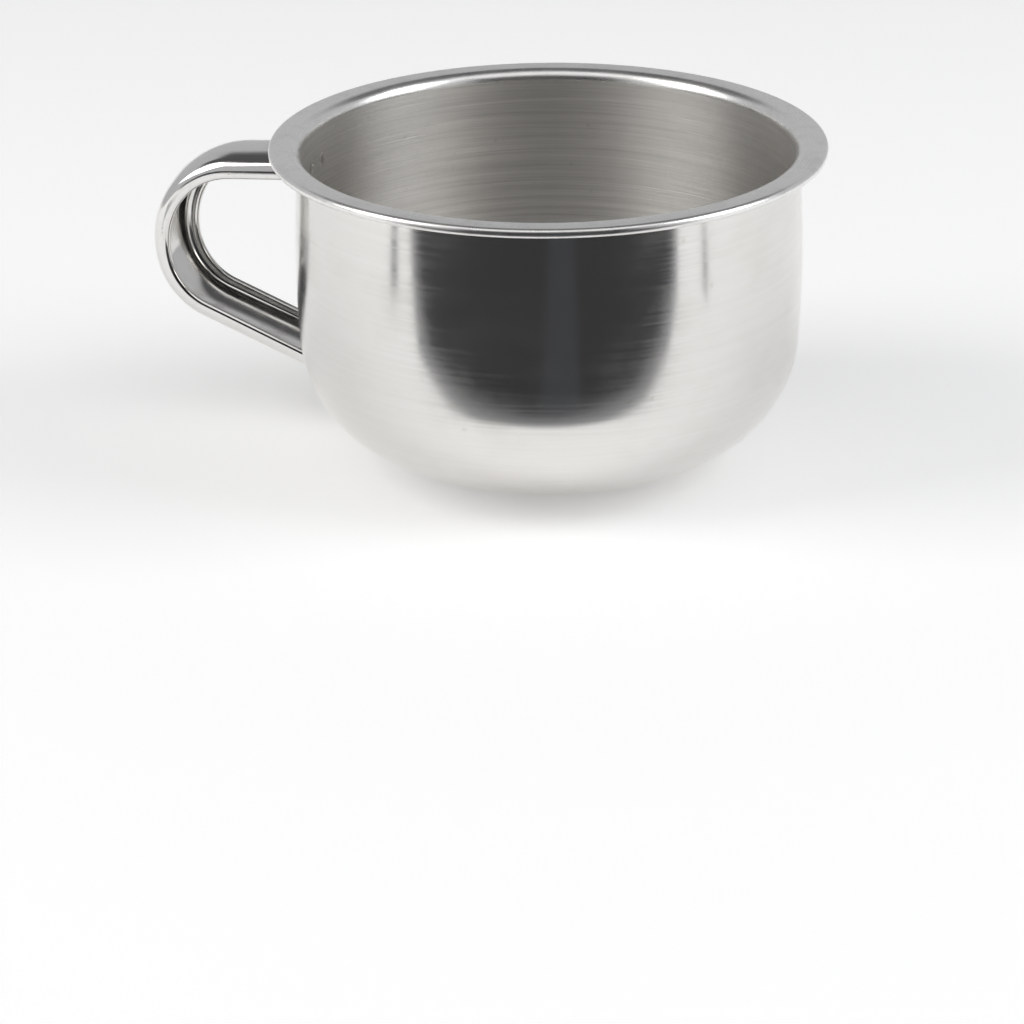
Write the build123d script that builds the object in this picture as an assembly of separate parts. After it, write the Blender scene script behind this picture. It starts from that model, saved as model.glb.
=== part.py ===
from build123d import *
import math
import os

# Shaving mug in sheet stainless steel, in millimetres, +Z up.
# The origin is the centre of the flat underside, and the handle points along -X.

# bowl, driving dimensions
height = 59.0             # underside to the top of the rim
rim_radius = 50.0         # outermost edge of the curled rim
belly_radius = 45.7       # widest outside radius of the barrelled wall
belly_height = 37.0       # height of that widest point
barrel_arc = 234.0        # radius of the wall's slight barrel curve
corner_arc = 22.3         # radius where the wall turns into the bottom
bottom_arc = 41.6         # gentle dish between the corner and the flat
flat_radius = 14.9        # flat disc that the mug stands on
bowl_sheet = 0.6          # sheet thickness
neck_arc = 1.5            # outside radius where the wall turns out into the flange
curl_radius = 0.85        # outside radius of the rim's curled edge
curl_turn = 225.0         # how far round the edge is curled, in degrees

# handle, driving dimensions
crown_height = 54.2       # height of the upper arm's crown at the wall
arm_droop = 5.4           # the upper arm falls by this angle as it leaves the wall
upper_arm = 15.0          # straight length of the upper arm
outer_bend = 18.0         # crown radius round the outside of the loop
outer_turn = 100.6        # degrees turned there
lower_bend = 14.9         # crown radius where the loop runs into the lower arm
lower_turn = 54.0         # degrees turned there
lower_arm = 30.0          # straight length of the lower arm before its end is cut
handle_sheet = 0.6        # sheet thickness
crown_arc = 16.0          # radius of the strip's crowned back
top_bend = 2.6            # outside radius between back and side walls, where the upper arm meets the wall
low_bend = 1.0            # the same at the end of the lower arm
hem_radius = 0.7          # outside radius of the folded edges
hem_lip = 0.3             # how far a folded edge runs on beyond its fold
strip_stations = 19       # sections that the strip is lofted through
top_width = 15.0          # over the side walls, where the upper arm meets the wall
low_width = 15.8          # the same at the end of the lower arm
top_depth = 4.9           # crown to folded edge, where the upper arm meets the wall
low_depth = 3.6           # the same at the end of the lower arm
seat_gap = 0.02           # air left between the handle and the wall

# tongues and welds, driving dimensions
tongue_width = 9.0
tongue_corner = 1.5
upper_tongue = 6.2        # from the crown down to the upper tongue's free end
lower_tongue = 6.5        # from the lower arm's crown down the wall to the free end
upper_weld_drop = 3.8     # from the crown down to the upper pair of welds
lower_weld_drop = 3.6     # from the lower arm's crown down the wall to the lower pair
weld_radius = 1.1
weld_pitch = 5.4          # between the two welds of a pair
weld_dimple = 0.12        # how far a weld sits below the inside wall
weld_bite = 0.4           # how deep a weld goes into its tongue

# places worked out from those
wall_centre = Vector(belly_radius - barrel_arc, belly_height)
bottom_centre = Vector(flat_radius, bottom_arc)
curl_centre = Vector(rim_radius - curl_radius, height - curl_radius)
neck_height = height - bowl_sheet - neck_arc


def circles_meet(first, first_radius, second, second_radius):
    """The point, farther from the axis, where two circles cross."""
    span = second - first
    along = (span.length**2 + first_radius**2 - second_radius**2) / (2 * span.length)
    aside = math.sqrt(first_radius**2 - along**2)
    foot = first + span.normalized() * along
    square = Vector(span.Y, -span.X).normalized() * aside
    return max((foot + square, foot - square), key=lambda point: point.X)


def direction(start, end):
    """Angle of the line between two points of the profile plane."""
    return math.degrees(math.atan2(end.Y - start.Y, end.X - start.X))


def on_circle(centre, radius, angle):
    """Point on a circle of the profile plane."""
    turn = math.radians(angle)
    return centre + Vector(math.cos(turn), math.sin(turn)) * radius


def arc(centre, radius, start, end):
    """Arc of the profile plane between two directions."""
    points = [on_circle(centre, radius, angle) for angle in (start, (start + end) / 2, end)]
    return ThreePointArc(*points)


corner_centre = circles_meet(wall_centre, barrel_arc - corner_arc, bottom_centre, bottom_arc - corner_arc)
bottom_end = direction(bottom_centre, corner_centre)
corner_end = direction(wall_centre, corner_centre)
neck_reach = math.sqrt((barrel_arc + neck_arc)**2 - (neck_height - belly_height)**2)
neck_centre = wall_centre + Vector(neck_reach, neck_height - belly_height)
wall_end = direction(wall_centre, neck_centre)


def bowl_line(offset):
    """Dish, corner and wall of the bowl, at a distance outside its outer surface."""
    return [
        arc(bottom_centre, bottom_arc + offset, -90, bottom_end),
        arc(corner_centre, corner_arc + offset, bottom_end, corner_end),
        arc(wall_centre, barrel_arc + offset, corner_end, wall_end),
    ]


def rim_line(neck, curl):
    """Neck fillet, flange and curled edge, along one side of the sheet."""
    fillet = arc(neck_centre, neck, 180 + wall_end, 90)
    fold = arc(curl_centre, curl, 90, 90 - curl_turn)
    return [fillet, Line(fillet @ 1, fold @ 0), fold]


def upright_face(edges):
    """Face in the XZ plane from edges drawn flat."""
    return make_face([Plane.XZ * edge for edge in edges])


def make_bowl(welds):
    """One drawn shell with a curled rim, and a hole where each weld goes through."""
    outside = bowl_line(0) + rim_line(neck_arc, curl_radius - bowl_sheet)
    inside = bowl_line(-bowl_sheet) + rim_line(neck_arc + bowl_sheet, curl_radius)
    under = Line((0, 0), outside[0] @ 0)
    floor = Line((0, bowl_sheet), inside[0] @ 0)
    axis = Line((0, 0), (0, bowl_sheet))
    tip = Line(outside[-1] @ 1, inside[-1] @ 1)
    shell = revolve(upright_face(outside + inside + [under, floor, axis, tip]), Axis.Z)
    return shell - welds


def wall_layer(inner, outer):
    """Ring that follows the dish, corner and wall, between two distances outside them."""
    sides = [bowl_line(distance) for distance in (inner, outer)]
    ends = [Line(sides[0][0] @ 0, sides[1][0] @ 0), Line(sides[0][-1] @ 1, sides[1][-1] @ 1)]
    return revolve(upright_face(sides[0] + sides[1] + ends), Axis.Z)


def wall_frame(centre, radius, angle):
    """Plane on the handle's side of the bowl: Z leaves the wall and Y runs down it."""
    point = on_circle(centre, radius, angle)
    turn = math.radians(angle)
    normal = (-math.cos(turn), 0, math.sin(turn))
    return Plane(origin=(-point.X, 0, point.Y), x_dir=(0, 1, 0), z_dir=normal)


def upper_frame(drop):
    """Plane on the wall, a distance below the upper arm's crown."""
    rise = crown_height - drop - belly_height
    return wall_frame(wall_centre, barrel_arc, math.degrees(math.asin(rise / barrel_arc)))


def lower_frame(last, drop):
    """Plane on the corner, a distance down it from the lower arm's crown."""
    return wall_frame(corner_centre, corner_arc, landing_angle(last) - math.degrees(drop / corner_arc))


def handle_path():
    """Centre line of the crown: straight runs joined by tangent arcs, drawn flat."""
    droop = math.radians(arm_droop)
    heading = Vector(-math.cos(droop), -math.sin(droop))
    start = Vector(-belly_radius, crown_height) - heading
    first = Line(start, start + heading * upper_arm)
    outer = JernArc(first @ 1, first % 1, outer_bend, outer_turn)
    lower = JernArc(outer @ 1, outer % 1, lower_bend, lower_turn)
    last = Line(lower @ 1, (lower @ 1) + (lower % 1) * lower_arm)
    return [first, outer, lower, last]


def landing_angle(last):
    """Direction, from the corner's centre, of the place where the lower crown meets the wall."""
    start = Vector(-(last @ 0).X, (last @ 0).Y) - corner_centre
    heading = Vector(-(last % 0).X, (last % 0).Y)
    middle = start.dot(heading)
    reach = -middle - math.sqrt(middle**2 - start.length**2 + corner_arc**2)
    return direction(Vector(0, 0), start + heading * reach)


def strip_section(width, depth, side_bend):
    """Crowned channel with hemmed edges: X across the strip, Y into the loop."""
    slope = math.degrees(math.asin((width / 2 - side_bend) / (crown_arc - side_bend)))
    crown = Vector(0, crown_arc)
    bend = on_circle(crown, crown_arc - side_bend, slope - 90)
    hem = Vector(width / 2 - hem_radius, depth - hem_radius)
    half = []
    for skin in (0, handle_sheet):
        side = arc(bend, side_bend - skin, slope - 90, 0)
        fold = arc(hem, hem_radius - skin, 0, 180)
        lip = Line(fold @ 1, (fold @ 1) - Vector(0, hem_lip))
        half += [side, Line(side @ 1, fold @ 0), fold, lip]
    half.append(Line(half[3] @ 1, half[7] @ 1))
    backs = [arc(crown, crown_arc - skin, -90 - slope, slope - 90) for skin in (0, handle_sheet)]
    return make_face(backs + half + [edge.mirror(Plane.YZ) for edge in half])


def square_to(path, share):
    """Plane square to the crown's line at a share of its length, Y into the loop."""
    return Plane(origin=path @ share, x_dir=(0, 1, 0), z_dir=path % share)


def make_strip(path):
    """Pressed channel, lofted through sections spread evenly along the crown's line."""
    sections = []
    for step in range(strip_stations):
        share = step / (strip_stations - 1)
        width = top_width + (low_width - top_width) * share
        depth = top_depth + (low_depth - top_depth) * share
        side_bend = top_bend + (low_bend - top_bend) * share
        sections.append(square_to(path, share) * strip_section(width, depth, side_bend))
    return loft(sections)


def wall_side(frame):
    """Block on the wall's side of a tangent plane, which cuts an end of the strip off flat."""
    block = Box(2 * low_width, 2 * low_width, low_width)
    return frame * Pos(0, 0, seat_gap - low_width / 2) * block


def channel_space(frame):
    """Space under the middle of the crown's sheet, near one end of the strip."""
    disc = Pos(0, crown_arc) * Circle(crown_arc - handle_sheet / 2)
    band = Pos(0, crown_arc / 2) * Rectangle(top_width - 4 * handle_sheet, crown_arc)
    return extrude(frame * (disc & band), tongue_width, both=True)


def make_tongue(frame, length):
    """Plate that hugs the wall, down to rounded corners a length below the frame's origin."""
    outline = frame * RectangleRounded(tongue_width, 2 * length, tongue_corner)
    return extrude(outline, length / 2, both=True) & wall_layer(seat_gap, seat_gap + handle_sheet)


def make_welds(frame):
    """Two nuggets side by side, from just below the inside wall into the tongue."""
    depth = wall_layer(weld_dimple - bowl_sheet, seat_gap + weld_bite)
    rod = Cylinder(weld_radius, tongue_width)
    pair = [frame * Pos(side * weld_pitch / 2, 0, 0) * rod & depth for side in (-1, 1)]
    return Compound(children=pair)


def weld_rods(frame):
    """Round holes for one pair of welds."""
    rod = Cylinder(weld_radius, 4 * bowl_sheet)
    return [frame * Pos(side * weld_pitch / 2, 0, 0) * rod for side in (-1, 1)]


def make_handle(line, welds):
    """One pressed strip with its ends cut flat and a tongue bent over at each."""
    path = Wire([Plane.XZ * edge for edge in line])
    strip = make_strip(path)
    strip -= wall_side(upper_frame(top_depth / 2))
    strip -= wall_side(lower_frame(line[-1], -low_depth / 2))
    upper = make_tongue(upper_frame(0), upper_tongue) & channel_space(square_to(path, 0))
    lower = make_tongue(lower_frame(line[-1], 0), lower_tongue) - channel_space(square_to(path, 1))
    return strip + upper + lower - welds


def main():
    """Write one STEP file for each piece."""
    os.makedirs("parts", exist_ok=True)
    line = handle_path()
    frames = [upper_frame(upper_weld_drop), lower_frame(line[-1], lower_weld_drop)]
    upper_welds, lower_welds = [make_welds(frame) for frame in frames]
    holes = weld_rods(frames[0]) + weld_rods(frames[1])
    pieces = {
        "bowl": make_bowl(holes),
        "handle": make_handle(line, [upper_welds, lower_welds]),
        "upper_spot_welds": upper_welds,
        "lower_spot_welds": lower_welds,
    }
    for name, piece in pieces.items():
        export_step(piece, f"parts/{name}.step")
        print(name, round(piece.volume, 2))


main()
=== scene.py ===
import math

import bpy
from mathutils import Matrix, Vector


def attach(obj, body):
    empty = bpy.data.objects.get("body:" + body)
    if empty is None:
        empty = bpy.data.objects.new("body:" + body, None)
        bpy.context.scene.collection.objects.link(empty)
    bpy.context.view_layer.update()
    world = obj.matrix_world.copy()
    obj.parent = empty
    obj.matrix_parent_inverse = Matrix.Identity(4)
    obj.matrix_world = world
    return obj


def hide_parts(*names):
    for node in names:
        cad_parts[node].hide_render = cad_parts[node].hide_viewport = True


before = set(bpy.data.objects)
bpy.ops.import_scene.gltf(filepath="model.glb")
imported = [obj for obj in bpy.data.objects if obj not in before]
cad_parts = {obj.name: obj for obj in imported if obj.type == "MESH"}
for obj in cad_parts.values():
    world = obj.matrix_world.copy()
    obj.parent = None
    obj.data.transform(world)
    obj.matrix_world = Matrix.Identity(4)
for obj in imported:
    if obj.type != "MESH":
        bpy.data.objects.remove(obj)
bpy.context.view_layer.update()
mm = 0.001


def deselectAll():
    if bpy.context.object and bpy.context.object.mode != "OBJECT":
        bpy.ops.object.mode_set(mode="OBJECT")
    bpy.ops.object.select_all(action="DESELECT")


def makeActive(piece):
    deselectAll()
    piece.select_set(True)
    bpy.context.view_layer.objects.active = piece


def selectAllPoints():
    bpy.ops.object.mode_set(mode="EDIT")
    bpy.ops.mesh.select_mode(type="VERT")
    bpy.ops.mesh.select_all(action="SELECT")


def clearMeshSelection(kind):
    bpy.ops.object.mode_set(mode="EDIT")
    bpy.ops.mesh.select_mode(type=kind)
    bpy.ops.mesh.select_all(action="DESELECT")
    bpy.ops.object.mode_set(mode="OBJECT")
    return bpy.context.object.data


def pickPoints(test):  # leaves edit mode on, with the points that pass selected
    mesh = clearMeshSelection("VERT")
    for point in mesh.vertices:
        point.select = bool(test(point.co))
    bpy.ops.object.mode_set(mode="EDIT")


def pickEdges(test):
    mesh = clearMeshSelection("EDGE")
    for edge in mesh.edges:
        first, second = (mesh.vertices[i].co for i in edge.vertices)
        edge.select = bool(test(first, second))
    bpy.ops.object.mode_set(mode="EDIT")


def finishedMesh(piece, degrees):  # smooth, except where it turns by more than that angle
    makeActive(piece)
    bpy.ops.object.shade_smooth_by_angle(angle=math.radians(degrees))
    return piece


def applyModifier(piece, kind, **settings):
    makeActive(piece)
    modifier = piece.modifiers.new(kind.title(), kind)
    for key, value in settings.items():
        setattr(modifier, key, value)
    bpy.ops.object.modifier_apply(modifier=modifier.name)


def cutWith(piece, tool, operation):
    applyModifier(piece, "BOOLEAN", operation=operation, object=tool, solver="EXACT")
    bpy.data.objects.remove(tool)


def joinInto(piece, others):
    makeActive(piece)
    for other in others:
        other.select_set(True)
    bpy.ops.object.join()
    return piece


def startPoint(name, place):  # one point, made from a small plane merged at its middle
    deselectAll()
    bpy.ops.mesh.primitive_plane_add(size=mm, location=place)
    bpy.ops.object.transform_apply(location=True, rotation=True, scale=True)
    bpy.context.object.name = name
    selectAllPoints()
    bpy.ops.mesh.merge(type="CENTER")


def extrudeBy(step):
    bpy.ops.mesh.extrude_region_move(TRANSFORM_OT_translate={"value": Vector(step)})


def turnAbout(centre, axis, degrees, steps):
    bpy.ops.mesh.spin(steps=steps, angle=math.radians(degrees), center=centre, axis=axis)


def closeUp(threshold=0.003 * mm, cup=False):  # a cup's normals are turned to face out of its outside
    bpy.ops.mesh.select_all(action="SELECT")
    bpy.ops.mesh.remove_doubles(threshold=threshold)
    bpy.ops.mesh.normals_make_consistent(inside=cup)


bowlSize = {
    "sheet": 0.6 * mm,
    "flatRadius": 14.9 * mm,
    "dish": (14.9 * mm, 41.6 * mm, 41.6 * mm, -90.0, -65.167),       # centre out, centre up, radius, from, to
    "corner": (23.0057 * mm, 24.0846 * mm, 22.3 * mm, -65.167, -3.498),
    "barrel": (-188.3 * mm, 37.0 * mm, 234.0 * mm, -3.498, 4.8475),
    "neck": (46.3577 * mm, 56.9 * mm, 1.5 * mm, 184.8475, 90.0),
    "curl": (49.15 * mm, 58.15 * mm, 0.25 * mm, 90.0, -135.0),       # the inside of the curled edge
    "arcSteps": {"dish": 10, "corner": 28, "barrel": 30, "neck": 14, "curl": 20},
    "roundSteps": 256,
    "smoothUnder": 50,
    "rimFrom": 56.9 * mm,                                            # the satin rim starts at this height
}


def onBowl(arcName, degrees, outward=0.0):  # a place on the outside, on the handle's side, and its normal
    out, up, radius = bowlSize[arcName][:3]
    turn = math.radians(degrees)
    reach = radius + outward
    place = Vector((-out - reach * math.cos(turn), 0, up + reach * math.sin(turn)))
    return place, Vector((-math.cos(turn), 0, math.sin(turn)))


def barrelAngle(height):
    up, radius = bowlSize["barrel"][1:3]
    return math.degrees(math.asin((height - up) / radius))


def makeBowl():
    startPoint("bowlShell", (0, 0, 0))
    extrudeBy((bowlSize["flatRadius"] / 2, 0, 0))
    extrudeBy((bowlSize["flatRadius"] / 2, 0, 0))
    for name, steps in bowlSize["arcSteps"].items():
        out, up, radius, start, end = bowlSize[name]
        if name == "curl":
            extrudeBy((out - bowlSize["neck"][0], 0, 0))             # the flat flange
        turnAbout((out, 0, up), (0, 1, 0), end - start, steps)
    bpy.ops.mesh.select_all(action="SELECT")
    turnAbout((0, 0, 0), (0, 0, 1), 360, bowlSize["roundSteps"])
    closeUp(cup=True)
    bpy.ops.object.mode_set(mode="OBJECT")
    shell = bpy.context.object
    giveMaterials(shell, [polishedWall(), satinInside(), satinRim()])
    applyModifier(
        shell, "SOLIDIFY", thickness=bowlSize["sheet"], offset=-1, use_even_offset=True, material_offset=1)
    return shell


weldSize = {
    "radius": 1.08 * mm,
    "pitch": 5.4 * mm,
    "bite": 0.42 * mm,           # how deep a weld goes past the wall, into the tongue
    "upperDrop": 3.8 * mm,       # below the crown at the upper arm
    "lowerDrop": 3.6 * mm,       # along the wall from the lower arm's crown
    "mark": (                    # out from the middle, and up from the inside wall
        (0.42, -0.15), (0.74, -0.08), (0.95, 0.03), (1.12, 0.075), (1.28, 0.05), (1.42, -0.03),
    ),
    "dimple": 0.17 * mm,         # the middle of a mark, below the inside wall
    "plugTop": 0.08 * mm,        # where the plug meets its mark, below the inside wall
    "drillPlay": 0.01 * mm,
    "drillDepth": 4 * mm,
    "mergeWithin": 0.001 * mm,
    "smoothUnder": 50,
    "roundSteps": 40,
}


def weldPlaces():
    upper = onBowl("barrel", barrelAngle(handleSize["crownHeight"] - weldSize["upperDrop"]))
    landing = handleSize["landing"] - math.degrees(weldSize["lowerDrop"] / bowlSize["corner"][2])
    return {"upper": upper, "lower": onBowl("corner", landing)}


def makeWeld(name, place, normal):  # a plug through the wall, with a dished mark on the inside
    depth = bowlSize["sheet"]
    inward = -normal
    across = Vector((0, 1, 0))
    middle = place + inward * (depth - weldSize["dimple"])
    startPoint(name, middle)
    last = middle
    for out, up in weldSize["mark"]:
        point = place + inward * (depth + up * mm) + across * out * mm
        extrudeBy(point - last)
        last = point
    corners = (
        place + inward * (depth - weldSize["plugTop"]) + across * weldSize["radius"],
        place - inward * weldSize["bite"] + across * weldSize["radius"],
        place - inward * weldSize["bite"],
    )
    for point in corners:
        extrudeBy(point - last)
        last = point
    bpy.ops.mesh.select_all(action="SELECT")
    turnAbout(place, normal, 360, weldSize["roundSteps"])
    closeUp(weldSize["mergeWithin"])
    bpy.ops.object.mode_set(mode="OBJECT")
    return finishedMesh(bpy.context.object, weldSize["smoothUnder"])


def makeWeldPair(name, place, normal):
    pair = []
    for side in (-1, 1):
        aside = side * weldSize["pitch"] / 2
        out = -place.x
        sag = out - math.sqrt(out ** 2 - aside ** 2)                 # the wall falls away beside the middle
        pair.append(makeWeld(name, place + Vector((sag, aside, 0)), normal))
    pair[0].name = name
    return joinInto(pair[0], pair[1:])


def drillWelds(shell, places):
    for place, normal in places.values():
        for side in (-1, 1):
            deselectAll()
            bpy.ops.mesh.primitive_cylinder_add(
                vertices=weldSize["roundSteps"],
                radius=weldSize["radius"] + weldSize["drillPlay"],
                depth=weldSize["drillDepth"],
                location=place + Vector((0, side * weldSize["pitch"] / 2, 0)),
                rotation=normal.to_track_quat("Z", "Y").to_euler())
            cutWith(shell, bpy.context.object, "DIFFERENCE")


handleSize = {
    "sheet": 0.6 * mm,
    "crownHeight": 54.2 * mm,    # where the upper arm's crown meets the wall
    "wallReach": 45.7 * mm,
    "droop": 5.4,                # degrees that the upper arm falls
    "upperArm": 15.0 * mm,
    "outerBend": (18.0 * mm, 100.6),
    "lowerBend": (14.9 * mm, 54.0),
    "lowerArm": 30.0 * mm,
    "landing": -35.83,           # where the lower arm's crown meets the corner, in degrees about its centre
    "crownArc": 16.0 * mm,
    "sideBend": 2.6 * mm,
    "hem": 0.7 * mm,
    "lip": 0.3 * mm,
    "topWidth": 15.0 * mm,
    "lowWidth": 15.8 * mm,
    "topDepth": 4.9 * mm,
    "lowDepth": 3.6 * mm,
    "crownSteps": 16,
    "shoulderSteps": 16,
    "hemSteps": 14,
    "cutOver": (10 * mm, 3 * mm),  # edges longer than this are cut, the first time and the second
    "lengthCuts": 12,
    "guideSteps": 96,
    "trimFrom": -60 * mm,        # the strip's ends lie nearer to the bowl than this
    "midHeight": 32 * mm,        # between the two arms
    "seatGap": 0.02 * mm,
    "tongueWidth": 9.0 * mm,
    "tongueCorner": 1.5 * mm,
    "upperTongue": 6.2 * mm,
    "lowerTongue": 6.5 * mm,
    "tongueRun": (1.2, 0.4),     # how far its patch runs to each side of the crown's end, in lengths
    "patchTurn": 8,
    "patchSteps": 12,
    "plateDepth": 8 * mm,
    "cornerSteps": 8,
    "rodSteps": 256,
    "rodLength": 60 * mm,
    "mergeWithin": 0.002 * mm,
    "smoothUnder": 35,
}


def handleLine():  # the crown's line: straight arms joined by two round bends
    droop = math.radians(handleSize["droop"])
    heading = Vector((-math.cos(droop), 0, -math.sin(droop)))
    place = Vector((-handleSize["wallReach"], 0, handleSize["crownHeight"])) - heading * mm
    line = [(place.copy(), heading.copy())]
    place += heading * handleSize["upperArm"]
    line.append((place.copy(), heading.copy()))
    for radius, turn in (handleSize["outerBend"], handleSize["lowerBend"]):
        for _ in range(2):
            half = math.radians(turn / 2)
            inward = Vector((-heading.z, 0, heading.x))
            centre = place + inward * radius
            spin = Matrix.Rotation(-half, 3, "Y")
            place = centre + spin @ (place - centre)
            heading = spin @ heading
            line.append((place.copy(), heading.copy()))
    place += heading * handleSize["lowerArm"]
    line.append((place.copy(), heading.copy()))
    return line


def handleReach():  # the length of that line
    bends = (handleSize["outerBend"], handleSize["lowerBend"])
    bent = sum(radius * math.radians(turn) for radius, turn in bends)
    return handleSize["upperArm"] + bent + handleSize["lowerArm"]


def makeGuide(line):
    deselectAll()
    bpy.ops.curve.primitive_bezier_curve_add(location=(0, 0, 0))
    guide = bpy.context.object
    spline = guide.data.splines[0]
    spline.bezier_points.add(len(line) - len(spline.bezier_points))
    bends = [0] + 2 * [handleSize["outerBend"]] + 2 * [handleSize["lowerBend"]] + [0]
    arms = [handleSize["upperArm"], 0, 0, 0, 0, handleSize["lowerArm"]]
    pulls = []
    for bend, arm in zip(bends, arms):
        quarter = math.radians(bend[1]) / 8 if bend else 0
        pulls.append(bend[0] * math.tan(quarter) * 4 / 3 if bend else arm / 3)
    for index, (place, heading) in enumerate(line):
        point = spline.bezier_points[index]
        point.handle_left_type = point.handle_right_type = "FREE"
        point.co = place
        point.handle_left = place - heading * pulls[max(index - 1, 0)]
        point.handle_right = place + heading * pulls[min(index, len(pulls) - 1)]
    guide.data.resolution_u = handleSize["guideSteps"]
    guide.data.twist_mode = "MINIMUM"
    return guide


def makeChannel():  # half of the pressed section, run out straight, mirrored, then bent to the line
    size = handleSize
    radius, bend, hem = size["crownArc"], size["sideBend"], size["hem"]
    half = size["topWidth"] / 2
    slope = math.asin((half - bend) / (radius - bend))
    bendUp = -radius + (radius - bend) * math.cos(slope)
    hemUp = hem - size["topDepth"]
    startPoint("handleStrip", (0, 0, 0))
    turnAbout((0, 0, -radius), (1, 0, 0), math.degrees(slope), size["crownSteps"])
    turnAbout((0, half - bend, bendUp), (1, 0, 0), 90 - math.degrees(slope), size["shoulderSteps"])
    extrudeBy((0, 0, hemUp - bendUp))
    turnAbout((0, half - hem, hemUp), (1, 0, 0), 180, size["hemSteps"])
    extrudeBy((0, 0, size["lip"]))
    bpy.ops.mesh.select_all(action="SELECT")
    extrudeBy((handleReach(), 0, 0))
    pickPoints(lambda co: co.x > mm)
    bpy.ops.transform.resize(value=(1, size["lowWidth"] / size["topWidth"], 1), center_override=(0, 0, 0))
    lift = size["topDepth"] - size["lowDepth"]
    below = bendUp - 0.01 * mm
    pickPoints(lambda co: co.x > mm and co.z > below)
    bpy.ops.transform.resize(value=(1, 1, (bendUp + lift) / bendUp), center_override=(0, 0, 0))
    pickPoints(lambda co: co.x > mm and co.z < below)
    bpy.ops.transform.translate(value=(0, 0, lift))
    for spacing in size["cutOver"]:
        pickEdges(lambda first, second: abs(first.x - second.x) > spacing)
        bpy.ops.mesh.subdivide(number_cuts=size["lengthCuts"])
    bpy.ops.object.mode_set(mode="OBJECT")
    strip = bpy.context.object
    applyModifier(strip, "MIRROR", use_axis=(False, True, False), merge_threshold=size["mergeWithin"])
    selectAllPoints()
    closeUp()
    bpy.ops.object.mode_set(mode="OBJECT")
    rememberPlace(strip)
    guide = makeGuide(handleLine())
    applyModifier(strip, "CURVE", object=guide, deform_axis="POS_X")
    bpy.data.objects.remove(guide)
    applyModifier(strip, "SOLIDIFY", thickness=size["sheet"], offset=-1, use_even_offset=True)
    return strip


def rememberPlace(piece):  # keeps where each point was before bending, for marks that follow the strip
    kept = piece.data.attributes.new("stripPlace", "FLOAT_VECTOR", "POINT")
    for point in piece.data.vertices:
        kept.data[point.index].vector = point.co


def trimEnds(strip):
    lowTurn = math.degrees(handleSize["lowDepth"] / 2 / bowlSize["corner"][2])
    ends = (
        ("barrel", barrelAngle(handleSize["crownHeight"] - handleSize["topDepth"] / 2), 1),
        ("corner", handleSize["landing"] + lowTurn, -1),
    )
    for arcName, degrees, side in ends:
        place, normal = onBowl(arcName, degrees, handleSize["seatGap"])
        makeActive(strip)
        pickPoints(lambda co: co.x > handleSize["trimFrom"] and side * (co.z - handleSize["midHeight"]) > 0)
        bpy.ops.mesh.bisect(plane_co=place, plane_no=normal, use_fill=True, clear_inner=True)
        bpy.ops.object.mode_set(mode="OBJECT")


def wallPatch(name, arcName, start, end):  # a sector of sheet that lies on the wall
    out, up = bowlSize[arcName][:2]
    place, _ = onBowl(arcName, start, handleSize["seatGap"])
    startPoint(name, place)
    turnAbout((-out, 0, up), (0, 1, 0), start - end, handleSize["patchSteps"])
    bpy.ops.mesh.select_all(action="SELECT")
    turnAbout((0, 0, 0), (0, 0, 1), handleSize["patchTurn"], handleSize["patchSteps"])
    bpy.ops.object.mode_set(mode="OBJECT")
    patch = bpy.context.object
    applyModifier(patch, "MIRROR", use_axis=(False, True, False), merge_threshold=handleSize["mergeWithin"])
    selectAllPoints()
    closeUp()
    bpy.ops.object.mode_set(mode="OBJECT")
    return patch


def platedTo(patch, place, normal, length):  # keeps what lies inside a plate with rounded corners
    down = normal.cross(Vector((0, 1, 0)))
    down = -down if down.z > 0 else down
    deselectAll()
    bpy.ops.mesh.primitive_cube_add(size=1, location=(0, 0, 0))
    plate = bpy.context.object
    plate.scale = (2 * length, handleSize["tongueWidth"], handleSize["plateDepth"])
    bpy.ops.object.transform_apply(location=False, rotation=False, scale=True)
    pickEdges(lambda first, second: abs(first.z - second.z) > mm)
    bpy.ops.mesh.bevel(offset=handleSize["tongueCorner"], segments=handleSize["cornerSteps"])
    bpy.ops.object.mode_set(mode="OBJECT")
    across = normal.cross(down)
    turned = Matrix((down, across, normal)).transposed().to_4x4()
    plate.matrix_world = Matrix.Translation(place) @ turned
    makeActive(plate)
    bpy.ops.object.transform_apply(location=True, rotation=True, scale=True)
    cutWith(patch, plate, "INTERSECT")


def crownRod(place, heading):  # a long rod whose surface is the middle of the crown's sheet
    inward = Vector((-heading.z, 0, heading.x))
    deselectAll()
    bpy.ops.mesh.primitive_cylinder_add(
        vertices=handleSize["rodSteps"],
        radius=handleSize["crownArc"] - handleSize["sheet"] / 2,
        depth=handleSize["rodLength"],
        location=place + inward * handleSize["crownArc"],
        rotation=heading.to_track_quat("Z", "Y").to_euler())
    return bpy.context.object


def makeTongue(name, arcName, degrees, length, end, operation):
    turn = math.degrees(length / bowlSize[arcName][2])
    back, ahead = handleSize["tongueRun"]
    patch = wallPatch(name, arcName, degrees - back * turn, degrees + ahead * turn)
    applyModifier(patch, "SOLIDIFY", thickness=handleSize["sheet"], offset=1, use_even_offset=True)
    platedTo(patch, *onBowl(arcName, degrees), length)
    cutWith(patch, crownRod(*end), operation)
    return patch


def makeHandle():
    line = handleLine()
    strip = makeChannel()
    trimEnds(strip)
    crown, landing = barrelAngle(handleSize["crownHeight"]), handleSize["landing"]
    tongues = [
        makeTongue("upperTongue", "barrel", crown, handleSize["upperTongue"], line[0], "INTERSECT"),
        makeTongue("lowerTongue", "corner", landing, handleSize["lowerTongue"], line[-1], "DIFFERENCE"),
    ]
    return finishedMesh(joinInto(strip, tongues), handleSize["smoothUnder"])


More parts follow.
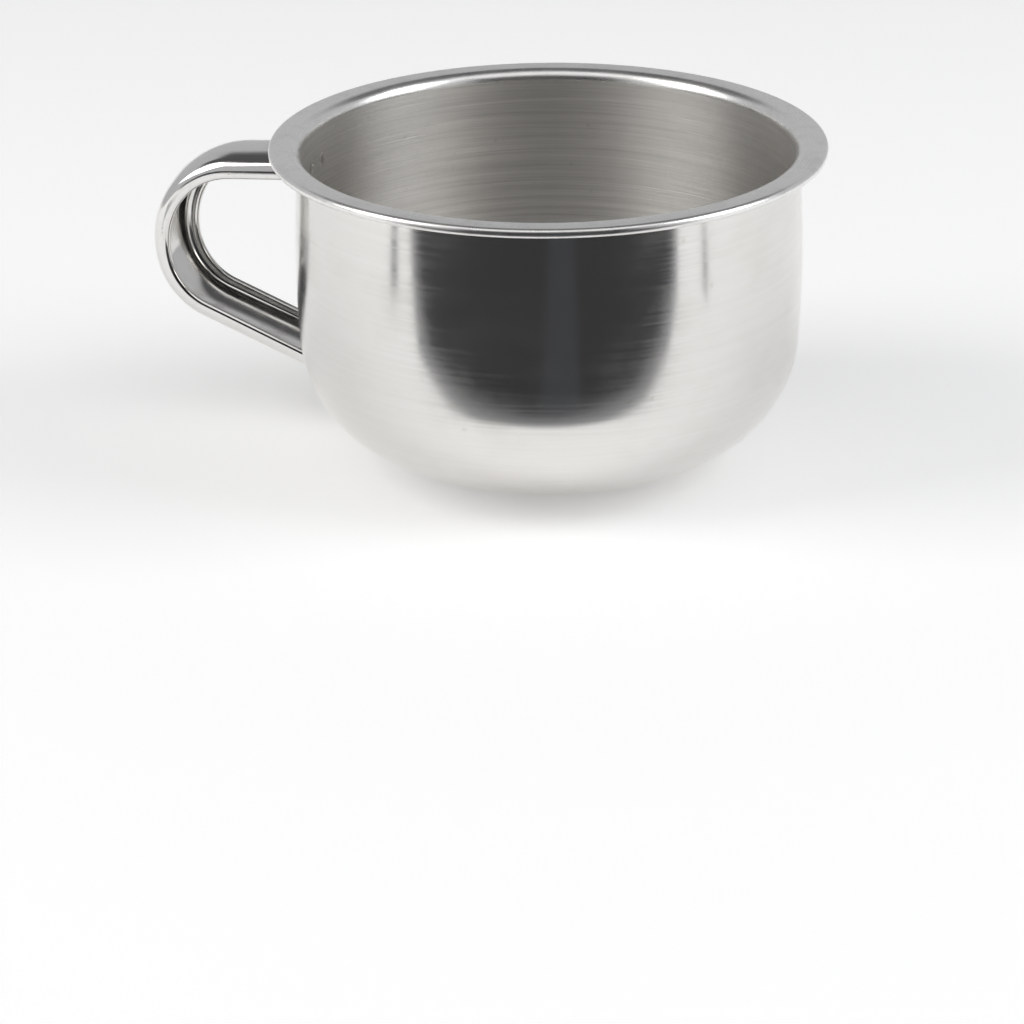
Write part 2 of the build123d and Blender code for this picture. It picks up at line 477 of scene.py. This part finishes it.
def addNode(tree, kind, **values):  # values name inputs by their label, or settings of the node
    node = tree.nodes.new(kind)
    for key, value in values.items():
        if key in node.bl_rna.properties:
            setattr(node, key, value)
        else:
            node.inputs[key.replace("_", " ")].default_value = value
    return node


def mathNode(tree, operation, first, second=None, third=None, clamp=False):
    node = tree.nodes.new("ShaderNodeMath")
    node.operation = operation
    node.use_clamp = clamp
    for index, value in enumerate((first, second, third)):
        if isinstance(value, bpy.types.NodeSocket):
            tree.links.new(value, node.inputs[index])
        elif value is not None:
            node.inputs[index].default_value = value
    return node.outputs[0]


def addUp(tree, first, firstShare, second, secondShare, clamp=False):  # each value times its share
    rest = mathNode(tree, "MULTIPLY", second, secondShare)
    return mathNode(tree, "MULTIPLY_ADD", first, firstShare, rest, clamp=clamp)


def mixColours(tree, first, second, amount):
    mix = addNode(tree, "ShaderNodeMix", data_type="RGBA")
    mix.inputs["A"].default_value = (*first, 1)
    mix.inputs["B"].default_value = (*second, 1)
    tree.links.new(amount, mix.inputs["Factor"])
    return mix.outputs["Result"]


def newGroup(name, inputs, outputs):
    group = bpy.data.node_groups.new(name, "ShaderNodeTree")
    for label, kind, value in inputs:
        socket = group.interface.new_socket(label, in_out="INPUT", socket_type=kind)
        if value is not None:
            socket.default_value = value
    for label, kind in outputs:
        group.interface.new_socket(label, in_out="OUTPUT", socket_type=kind)
    return group, group.nodes.new("NodeGroupInput"), group.nodes.new("NodeGroupOutput")


def noiseValue(tree, vector, scale, detail, roughness=0.5):
    node = addNode(tree, "ShaderNodeTexNoise", Detail=detail, Roughness=roughness)
    tree.links.new(vector, node.inputs["Vector"])
    if isinstance(scale, bpy.types.NodeSocket):
        tree.links.new(scale, node.inputs["Scale"])
    else:
        node.inputs["Scale"].default_value = scale
    return node.outputs["Fac"]


def spread(tree, value, low, high):  # stretches low..high to 0..1 and clips it
    node = addNode(tree, "ShaderNodeMapRange", From_Min=low, From_Max=high)
    tree.links.new(value, node.inputs["Value"])
    return node.outputs["Result"]


ringMarks = {
    "layers": {                  # share of the lines, share of the marks, offset, detail
        "fine": (1.0, 1.0, 0.0, 2.0),
        "broad": (0.22, 0.6, 31.0, 3.0),
        "score": (0.6, 1.7, 77.0, 0.0),
        "bands": (0.035, 0.35, 55.0, 2.0),
    },
    "grain": 0.6,
    "fineShare": 0.45,
    "broadShare": 0.55,
    "marksRange": (0.3, 0.7),
    "scoresRange": (0.68, 0.8),
    "bandsRange": (0.35, 0.65),
}


def buildTurnedMarks():  # rings left by turning: fine across the ring, long round it
    group, given, out = newGroup("turnedMarks", [
        ("Place", "NodeSocketVector", None),
        ("Lines per metre", "NodeSocketFloat", 3000.0),
        ("Marks per turn", "NodeSocketFloat", 3.0),
    ], [("Marks", "NodeSocketFloat"), ("Scores", "NodeSocketFloat"), ("Bands", "NodeSocketFloat")])
    links = group.links
    split = group.nodes.new("ShaderNodeSeparateXYZ")
    links.new(given.outputs["Place"], split.inputs[0])
    flat = group.nodes.new("ShaderNodeCombineXYZ")
    links.new(split.outputs["X"], flat.inputs["X"])
    links.new(split.outputs["Y"], flat.inputs["Y"])
    reach = addNode(group, "ShaderNodeVectorMath", operation="LENGTH")
    links.new(flat.outputs[0], reach.inputs[0])
    around = addNode(group, "ShaderNodeVectorMath", operation="NORMALIZE")
    links.new(flat.outputs[0], around.inputs[0])
    along = mathNode(group, "ADD", reach.outputs["Value"], split.outputs["Z"])  # over the floor, up the wall
    turn = group.nodes.new("ShaderNodeSeparateXYZ")
    links.new(around.outputs[0], turn.inputs[0])

    def layer(share, perTurn, offset, detail):
        place = group.nodes.new("ShaderNodeCombineXYZ")
        across = mathNode(group, "MULTIPLY", along, given.outputs["Lines per metre"])
        links.new(mathNode(group, "MULTIPLY_ADD", across, share, offset), place.inputs["X"])
        for axis, slot in (("X", "Y"), ("Y", "Z")):
            length = mathNode(group, "MULTIPLY", turn.outputs[axis], given.outputs["Marks per turn"])
            links.new(mathNode(group, "MULTIPLY", length, perTurn), place.inputs[slot])
        return noiseValue(group, place.outputs[0], 1.0, detail, ringMarks["grain"])

    layers = {name: layer(*values) for name, values in ringMarks["layers"].items()}
    both = addUp(group, layers["broad"], ringMarks["broadShare"], layers["fine"], ringMarks["fineShare"])
    links.new(spread(group, both, *ringMarks["marksRange"]), out.inputs["Marks"])
    links.new(spread(group, layers["score"], *ringMarks["scoresRange"]), out.inputs["Scores"])
    links.new(spread(group, layers["bands"], *ringMarks["bandsRange"]), out.inputs["Bands"])
    return group


handlingMarks = {
    "smudgeDetail": 5.0,
    "smudgeGrain": 0.62,
    "smudgeRange": (0.48, 0.72),
    "pitRange": (0.05, 0.16),
    "pitChance": 0.86,           # only cells that draw more than this hold a pit
    "hairlineTurns": ((0.3, 0.2, 0.5), (1.1, 0.7, 1.9), (0.6, 1.9, 2.6)),
    "hairlineScale": (40.0, 2600.0, 40.0),
    "hairlineRange": (0.74, 0.82),
}


def buildHandling():  # smudges from fingers and cloths, tiny pits, and hairline scratches all ways
    group, given, out = newGroup("handling", [
        ("Place", "NodeSocketVector", None),
        ("Smudge size", "NodeSocketFloat", 90.0),
        ("Pit spacing", "NodeSocketFloat", 700.0),
    ], [("Smudge", "NodeSocketFloat"), ("Pits", "NodeSocketFloat"), ("Hairlines", "NodeSocketFloat")])
    links = group.links
    marks = handlingMarks
    size = given.outputs["Smudge size"]
    cloud = noiseValue(group, given.outputs["Place"], size, marks["smudgeDetail"], marks["smudgeGrain"])
    links.new(spread(group, cloud, *marks["smudgeRange"]), out.inputs["Smudge"])
    cells = group.nodes.new("ShaderNodeTexVoronoi")
    links.new(given.outputs["Place"], cells.inputs["Vector"])
    links.new(given.outputs["Pit spacing"], cells.inputs["Scale"])
    near = mathNode(group, "SUBTRACT", 1.0, spread(group, cells.outputs["Distance"], *marks["pitRange"]))
    chance = group.nodes.new("ShaderNodeSeparateColor")
    links.new(cells.outputs["Color"], chance.inputs[0])
    rare = mathNode(group, "GREATER_THAN", chance.outputs[0], marks["pitChance"])
    links.new(mathNode(group, "MULTIPLY", near, rare), out.inputs["Pits"])
    lines = None
    for turn in marks["hairlineTurns"]:
        mapped = addNode(group, "ShaderNodeMapping", Rotation=turn, Scale=marks["hairlineScale"])
        links.new(given.outputs["Place"], mapped.inputs["Vector"])
        line = spread(group, noiseValue(group, mapped.outputs[0], 1.0, 0.0), *marks["hairlineRange"])
        lines = line if lines is None else mathNode(group, "MAXIMUM", lines, line)
    links.new(lines, out.inputs["Hairlines"])
    return group


turnedMarks = buildTurnedMarks()
handling = buildHandling()


def placeGroup(tree, group, place, **values):
    node = tree.nodes.new("ShaderNodeGroup")
    node.node_tree = group
    for key, value in values.items():
        node.inputs[key.replace("_", " ")].default_value = value
    tree.links.new(place, node.inputs["Place"])
    return node.outputs


def steelBase(name, colour, anisotropy=0.0):
    material = bpy.data.materials.new(name)
    material.use_nodes = True
    tree = material.node_tree
    shader = tree.nodes["Principled BSDF"]
    shader.inputs["Base Color"].default_value = (*colour, 1)
    shader.inputs["Metallic"].default_value = 1.0
    shader.inputs["Anisotropic"].default_value = anisotropy
    if anisotropy:               # a quarter turn, so that a highlight spreads across the rings
        shader.inputs["Anisotropic Rotation"].default_value = 0.25
        tangent = addNode(tree, "ShaderNodeTangent", direction_type="RADIAL", axis="Z")
        tree.links.new(tangent.outputs[0], shader.inputs["Tangent"])
    place = tree.nodes.new("ShaderNodeTexCoord").outputs["Object"]
    return material, tree, shader, place


def setColour(tree, shader, colour, dark, amount):
    tree.links.new(mixColours(tree, colour, dark, amount), shader.inputs["Base Color"])


def setBump(tree, shader, height, distance, strength):
    bump = addNode(tree, "ShaderNodeBump", Distance=distance, Strength=strength)
    tree.links.new(height, bump.inputs["Height"])
    tree.links.new(bump.outputs[0], shader.inputs["Normal"])


polishedLook = {
    "colour": (0.77, 0.76, 0.745),
    "stain": (0.64, 0.61, 0.56),
    "roughness": 0.10,
    "markRoughness": 0.10,
    "smudgeRoughness": 0.06,
    "anisotropy": 0.35,
    "rings": {"Lines_per_metre": 6000.0, "Marks_per_turn": 2.2},
    "touch": {"Smudge_size": 75.0, "Pit_spacing": 260.0},
    "smudgeStain": 0.22,
    "pitStain": 0.5,
    "markStain": 0.22,
    "bandHeight": 1.0,
    "markHeight": 0.25,
    "bump": 0.008 * mm,
    "bumpStrength": 0.35,
}


def polishedWall():
    look = polishedLook
    material, tree, shader, place = steelBase("polishedWall", look["colour"], look["anisotropy"])
    marks = placeGroup(tree, turnedMarks, place, **look["rings"])
    touch = placeGroup(tree, handling, place, **look["touch"])
    dirt = addUp(tree, touch["Smudge"], look["smudgeStain"], touch["Pits"], look["pitStain"])
    dirt = mathNode(tree, "MULTIPLY_ADD", marks["Marks"], look["markStain"], dirt, clamp=True)
    setColour(tree, shader, look["colour"], look["stain"], dirt)
    rough = mathNode(tree, "MULTIPLY_ADD", marks["Marks"], look["markRoughness"], look["roughness"])
    rough = mathNode(tree, "MULTIPLY_ADD", touch["Smudge"], look["smudgeRoughness"], rough, clamp=True)
    tree.links.new(rough, shader.inputs["Roughness"])
    height = addUp(tree, marks["Bands"], look["bandHeight"], marks["Marks"], look["markHeight"])
    height = mathNode(tree, "SUBTRACT", height, touch["Pits"])
    setBump(tree, shader, height, look["bump"], look["bumpStrength"])
    return material


satinLook = {
    "colour": (0.84, 0.825, 0.80),
    "groove": (0.40, 0.385, 0.36),
    "roughness": 0.34,
    "markRoughness": 0.14,
    "bandRoughness": 0.05,
    "anisotropy": 0.8,
    "rings": {"Lines_per_metre": 4200.0, "Marks_per_turn": 1.6},
    "touch": {"Smudge_size": 60.0, "Pit_spacing": 300.0},
    "markDark": 0.6,
    "pitDark": 0.2,
    "scoreHeight": -0.6,
    "bump": 0.03 * mm,
    "bumpStrength": 0.7,
}


def satinInside():
    look = satinLook
    material, tree, shader, place = steelBase("satinInside", look["colour"], look["anisotropy"])
    marks = placeGroup(tree, turnedMarks, place, **look["rings"])
    touch = placeGroup(tree, handling, place, **look["touch"])
    dark = addUp(tree, touch["Pits"], look["pitDark"], marks["Marks"], look["markDark"], clamp=True)
    setColour(tree, shader, look["colour"], look["groove"], dark)
    rough = mathNode(tree, "MULTIPLY_ADD", marks["Marks"], look["markRoughness"], look["roughness"])
    rough = mathNode(tree, "MULTIPLY_ADD", marks["Bands"], look["bandRoughness"], rough, clamp=True)
    tree.links.new(rough, shader.inputs["Roughness"])
    height = mathNode(tree, "MULTIPLY_ADD", marks["Scores"], look["scoreHeight"], marks["Marks"])
    setBump(tree, shader, height, look["bump"], look["bumpStrength"])
    return material


rimLook = {
    "colour": (0.87, 0.86, 0.845),
    "worn": (0.60, 0.59, 0.57),
    "roughness": 0.24,
    "markRoughness": 0.10,
    "anisotropy": 0.5,
    "rings": {"Lines_per_metre": 5200.0, "Marks_per_turn": 7.0},
    "touch": {"Smudge_size": 220.0, "Pit_spacing": 900.0},
    "pitWorn": 0.7,
    "smudgeWorn": 0.35,
    "pitHeight": -1.2,
    "bump": 0.012 * mm,
    "bumpStrength": 0.45,
}


def satinRim():
    look = rimLook
    material, tree, shader, place = steelBase("satinRim", look["colour"], look["anisotropy"])
    marks = placeGroup(tree, turnedMarks, place, **look["rings"])
    touch = placeGroup(tree, handling, place, **look["touch"])
    worn = addUp(tree, touch["Pits"], look["pitWorn"], touch["Smudge"], look["smudgeWorn"], clamp=True)
    setColour(tree, shader, look["colour"], look["worn"], worn)
    rough = mathNode(
        tree, "MULTIPLY_ADD", marks["Marks"], look["markRoughness"], look["roughness"], clamp=True)
    tree.links.new(rough, shader.inputs["Roughness"])
    height = mathNode(tree, "MULTIPLY_ADD", touch["Pits"], look["pitHeight"], marks["Marks"])
    setBump(tree, shader, height, look["bump"], look["bumpStrength"])
    return material


buffedLook = {
    "colour": (0.79, 0.78, 0.765),
    "stain": (0.62, 0.58, 0.52),
    "roughness": 0.07,
    "lineRoughness": 0.08,
    "smudgeRoughness": 0.10,
    "hairlineRoughness": 0.12,
    "lineScale": (70.0, 4200.0, 4200.0),
    "lineDetail": 2.0,
    "lineGrain": 0.6,
    "lineRange": (0.35, 0.75),
    "touch": {"Smudge_size": 160.0, "Pit_spacing": 800.0},
    "smudgeStain": 0.3,
    "pitStain": 0.6,
    "waveScale": 105.0,
    "wave": 9.0,                 # how far the pressing is from even, next to the depth of a pit
    "lineHeight": 0.12,
    "bump": 0.010 * mm,
    "bumpStrength": 0.5,
}


def buffedHandle():
    look = buffedLook
    material, tree, shader, place = steelBase("buffedHandle", look["colour"])
    strip = addNode(tree, "ShaderNodeAttribute", attribute_name="stripPlace").outputs["Vector"]
    mapped = addNode(tree, "ShaderNodeMapping", Scale=look["lineScale"])
    tree.links.new(strip, mapped.inputs["Vector"])
    brushed = noiseValue(tree, mapped.outputs[0], 1.0, look["lineDetail"], look["lineGrain"])
    lines = spread(tree, brushed, *look["lineRange"])
    touch = placeGroup(tree, handling, place, **look["touch"])
    dirt = addUp(tree, touch["Smudge"], look["smudgeStain"], touch["Pits"], look["pitStain"], clamp=True)
    setColour(tree, shader, look["colour"], look["stain"], dirt)
    rough = mathNode(tree, "MULTIPLY_ADD", lines, look["lineRoughness"], look["roughness"])
    rough = mathNode(tree, "MULTIPLY_ADD", touch["Smudge"], look["smudgeRoughness"], rough)
    rough = mathNode(tree, "MULTIPLY_ADD", touch["Hairlines"], look["hairlineRoughness"], rough, clamp=True)
    tree.links.new(rough, shader.inputs["Roughness"])
    wave = noiseValue(tree, place, look["waveScale"], 1.0)
    height = addUp(tree, wave, look["wave"], lines, look["lineHeight"])
    height = mathNode(tree, "SUBTRACT", height, touch["Pits"])
    setBump(tree, shader, height, look["bump"], look["bumpStrength"])
    return material


weldLook = {
    "colour": (0.82, 0.81, 0.79),
    "tint": (0.46, 0.43, 0.39),
    "roughness": 0.17,
    "smudgeRoughness": 0.2,
    "touch": {"Smudge_size": 900.0, "Pit_spacing": 2500.0},
    "pitTint": 0.5,
    "smudgeTint": 0.6,
    "grainScale": 1800.0,
    "grainDetail": 2.0,
    "bump": 0.02 * mm,
    "bumpStrength": 0.4,
}


def weldMetal():
    look = weldLook
    material, tree, shader, place = steelBase("weldMetal", look["colour"])
    touch = placeGroup(tree, handling, place, **look["touch"])
    tint = addUp(tree, touch["Pits"], look["pitTint"], touch["Smudge"], look["smudgeTint"], clamp=True)
    setColour(tree, shader, look["colour"], look["tint"], tint)
    rough = mathNode(
        tree, "MULTIPLY_ADD", touch["Smudge"], look["smudgeRoughness"], look["roughness"], clamp=True)
    tree.links.new(rough, shader.inputs["Roughness"])
    grain = noiseValue(tree, place, look["grainScale"], look["grainDetail"])
    height = mathNode(tree, "SUBTRACT", grain, touch["Pits"])
    setBump(tree, shader, height, look["bump"], look["bumpStrength"])
    return material


def giveMaterials(piece, materials):
    piece.data.materials.clear()
    for material in materials:
        piece.data.materials.append(material)


def dressBowl(shell):  # the first two finishes are already on, outside and inside
    for face in shell.data.polygons:
        if face.center.z > bowlSize["rimFrom"]:
            face.material_index = 2
    finishedMesh(shell, bowlSize["smoothUnder"])


shell = makeBowl()
places = weldPlaces()
drillWelds(shell, places)
dressBowl(shell)
print("bowl drawn, curled and drilled")

handle = makeHandle()
handle.name = "handleChannel"
giveMaterials(handle, [buffedHandle()])
print("handle pressed, bent and seated")

welds = {side: makeWeldPair(side + "SpotWelds", *places[side]) for side in places}
for pair in welds.values():
    giveMaterials(pair, [weldMetal()])
print("welds made")

for piece, node, slotName in (
    (shell, "bowl", "bowl_steel"),
    (handle, "handle", "handle_steel"),
    (welds["upper"], "upper_spot_welds", "weld_steel"),
    (welds["lower"], "lower_spot_welds", "weld_steel"),
):
    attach(piece, "root")
    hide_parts(node)


cameraSetup = {
    "azimuth": 18.9,             # degrees round the mug from straight ahead
    "elevation": 19.3,
    "distance": 0.7508,
    "aimHeight": 33 * mm,
    "lens": 145.6,
    "nod": -3.225,               # looks a little below the mug
    "swing": 0.535,
    "roll": -0.42,
    "sensor": 36.0,
    "clip": (0.01, 60.0),
}


def roundMug(azimuth, elevation):  # the direction from the mug towards a place round it
    turn, rise = math.radians(azimuth), math.radians(elevation)
    return Vector((math.sin(turn) * math.cos(rise), -math.cos(turn) * math.cos(rise), math.sin(rise)))


def makeCamera():
    setup = cameraSetup
    deselectAll()
    bpy.ops.object.camera_add()
    camera = bpy.context.object
    camera.name = "studioCamera"
    camera.data.lens = setup["lens"]
    camera.data.sensor_width = setup["sensor"]
    camera.data.clip_start, camera.data.clip_end = setup["clip"]
    back = roundMug(setup["azimuth"], setup["elevation"])
    camera.location = Vector((0, 0, setup["aimHeight"])) + back * setup["distance"]
    aim = (-back).to_track_quat("-Z", "Y").to_matrix()
    aim = aim @ Matrix.Rotation(math.radians(setup["swing"]), 3, "Y")
    aim = aim @ Matrix.Rotation(math.radians(setup["nod"]), 3, "X")
    aim = aim @ Matrix.Rotation(math.radians(setup["roll"]), 3, "Z")
    camera.rotation_euler = aim.to_euler()
    bpy.context.scene.camera = camera


makeCamera()


studio = {
    "floorColour": (0.93, 0.93, 0.925),
    "floorSize": 14.0,
    "floorDrop": 0.02 * mm,      # just clear of the mug
    "floorRoughness": 0.9,
    "floorGlow": 0.22,           # the floor gives off a little light of its own
    "lowSky": (0.50, 0.505, 0.515),
    "highSky": (0.09, 0.091, 0.095),
    "skyTurnsAt": (0.54, 0.66),  # sine of the height where the pale walls give way to the dark ceiling
    "flagLift": 0.4 * mm,        # the cloths lie this far above the floor
    "flag": (0.022, 0.022, 0.024),
    "flagEdge": (0.26, 0.265, 0.275),
    "flagSpread": 1.022,         # its paler margin, next to it in size, about this middle
    "flagMiddle": (0.02, 0.6),
    "gleam": (0.040, 0.043, 0.050),
    "post": (0.25, 0.255, 0.265),
    "darkEdge": (                # the dark cloth on the floor: places right of the mug, and in front of it
        (-0.219, 0.149), (-0.094, 0.0917), (-0.049, 0.0863), (-0.008, 0.0885),
        (0.0536, 0.0904), (0.088, 0.101), (0.144, 0.127), (0.266, 0.199),
        (1.20, 0.85), (1.20, 1.6), (-1.20, 1.6), (-1.20, 0.62),
    ),
    "gleamEdge": ((-0.006, 0.091), (0.017, 0.092), (0.30, 1.6), (0.02, 1.6)),
    "postEdges": (               # two grey strips on the floor that show as faint upright bands
        ((-0.156, 0.071), (-0.313, 0.118), (-0.319, 0.138), (-0.160, 0.084)),
        ((0.156, 0.071), (0.160, 0.080), (0.319, 0.131), (0.313, 0.118)),
    ),
    "roomFlag": (1.2, 1.6, 1.5),  # the upright cloth: half its width, how far in front, and its height
    "lights": {                  # azimuth, elevation, distance, size, power, colour
        "leftSoftbox": (-58, 36, 1.3, (0.7, 0.9), 6.5, (1.0, 0.99, 0.97)),
        "rightSoftbox": (98, 34, 1.3, (0.7, 0.9), 6.5, (0.97, 0.985, 1.0)),
        "topSoftbox": (19, 68, 1.3, (1.5, 0.9), 4, (1.0, 1.0, 1.0)),
    },
}


def stageMaterial(name, colour, rough):
    material = bpy.data.materials.new(name)
    material.use_nodes = True
    shader = material.node_tree.nodes["Principled BSDF"]
    shader.inputs["Base Color"].default_value = (*colour, 1)
    shader.inputs["Roughness"].default_value = rough
    return material


def makeFloor():
    deselectAll()
    bpy.ops.mesh.primitive_plane_add(size=studio["floorSize"], location=(0, 0, -studio["floorDrop"]))
    floor = bpy.context.object
    floor.name = "studioFloor"
    pale = stageMaterial("paleFloor", studio["floorColour"], studio["floorRoughness"])
    shader = pale.node_tree.nodes["Principled BSDF"]
    shader.inputs["Emission Color"].default_value = (1, 1, 1, 1)
    shader.inputs["Emission Strength"].default_value = studio["floorGlow"]
    giveMaterials(floor, [pale])


def makeFlag(name, places, colour):  # a cloth that only shows as a reflection
    startPoint(name, places[0])
    for first, second in zip(places, places[1:]):
        extrudeBy(second - first)
    bpy.ops.mesh.select_all(action="SELECT")
    bpy.ops.mesh.edge_face_add()
    bpy.ops.object.mode_set(mode="OBJECT")
    flag = bpy.context.object
    giveMaterials(flag, [stageMaterial(name + "Cloth", colour, 1.0)])
    flag.visible_camera = False
    flag.visible_diffuse = False
    flag.visible_shadow = False


def makeLights():
    for name, (azimuth, elevation, distance, size, power, colour) in studio["lights"].items():
        deselectAll()
        back = roundMug(azimuth, elevation)
        bpy.ops.object.light_add(type="AREA", location=back * distance)
        lamp = bpy.context.object
        lamp.name = name
        lamp.rotation_euler = back.to_track_quat("Z", "Y").to_euler()
        lamp.data.shape = "RECTANGLE"
        lamp.data.size, lamp.data.size_y = size
        lamp.data.energy = power
        lamp.data.color = colour
        lamp.visible_camera = False


def makeWorld():
    world = bpy.data.worlds.new("studioWorld")
    bpy.context.scene.world = world
    world.use_nodes = True
    tree = world.node_tree
    place = tree.nodes.new("ShaderNodeTexCoord").outputs["Generated"]
    split = tree.nodes.new("ShaderNodeSeparateXYZ")
    tree.links.new(place, split.inputs[0])
    high = addNode(tree, "ShaderNodeMapRange", interpolation_type="SMOOTHSTEP")
    high.inputs["From Min"].default_value, high.inputs["From Max"].default_value = studio["skyTurnsAt"]
    tree.links.new(split.outputs["Z"], high.inputs["Value"])
    sky = mixColours(tree, studio["lowSky"], studio["highSky"], high.outputs["Result"])
    tree.links.new(sky, tree.nodes["Background"].inputs["Color"])


def makeStudio():
    makeFloor()
    front = roundMug(cameraSetup["azimuth"], 0)
    side = Vector((-front.y, front.x, 0))
    lift = Vector((0, 0, studio["flagLift"]))

    def onFloor(edge):  # an outline, from places right of the mug and in front of it
        return [side * right + front * ahead + lift for right, ahead in edge]

    dark = onFloor(studio["darkEdge"])
    makeFlag("floorFlag", dark, studio["flag"])
    middleRight, middleAhead = studio["flagMiddle"]
    middle = side * middleRight + front * middleAhead
    margin = [middle + (place - middle) * studio["flagSpread"] - lift / 2 for place in dark]
    makeFlag("floorFlagEdge", margin, studio["flagEdge"])
    makeFlag("floorGleam", [place + lift / 2 for place in onFloor(studio["gleamEdge"])], studio["gleam"])
    for name, edge in zip(("leftPost", "rightPost"), studio["postEdges"]):
        makeFlag(name, onFloor(edge), studio["post"])
    aside, ahead, high = studio["roomFlag"]
    wide, far, top = side * aside, front * ahead, Vector((0, 0, high))
    makeFlag("roomFlag", [far - wide, far + wide, far + wide + top, far - wide + top], studio["flag"])
    makeLights()
    makeWorld()


makeStudio()
bpy.context.scene.view_settings.view_transform = "Standard"
print("studio set")

bpy.context.view_layer.update()
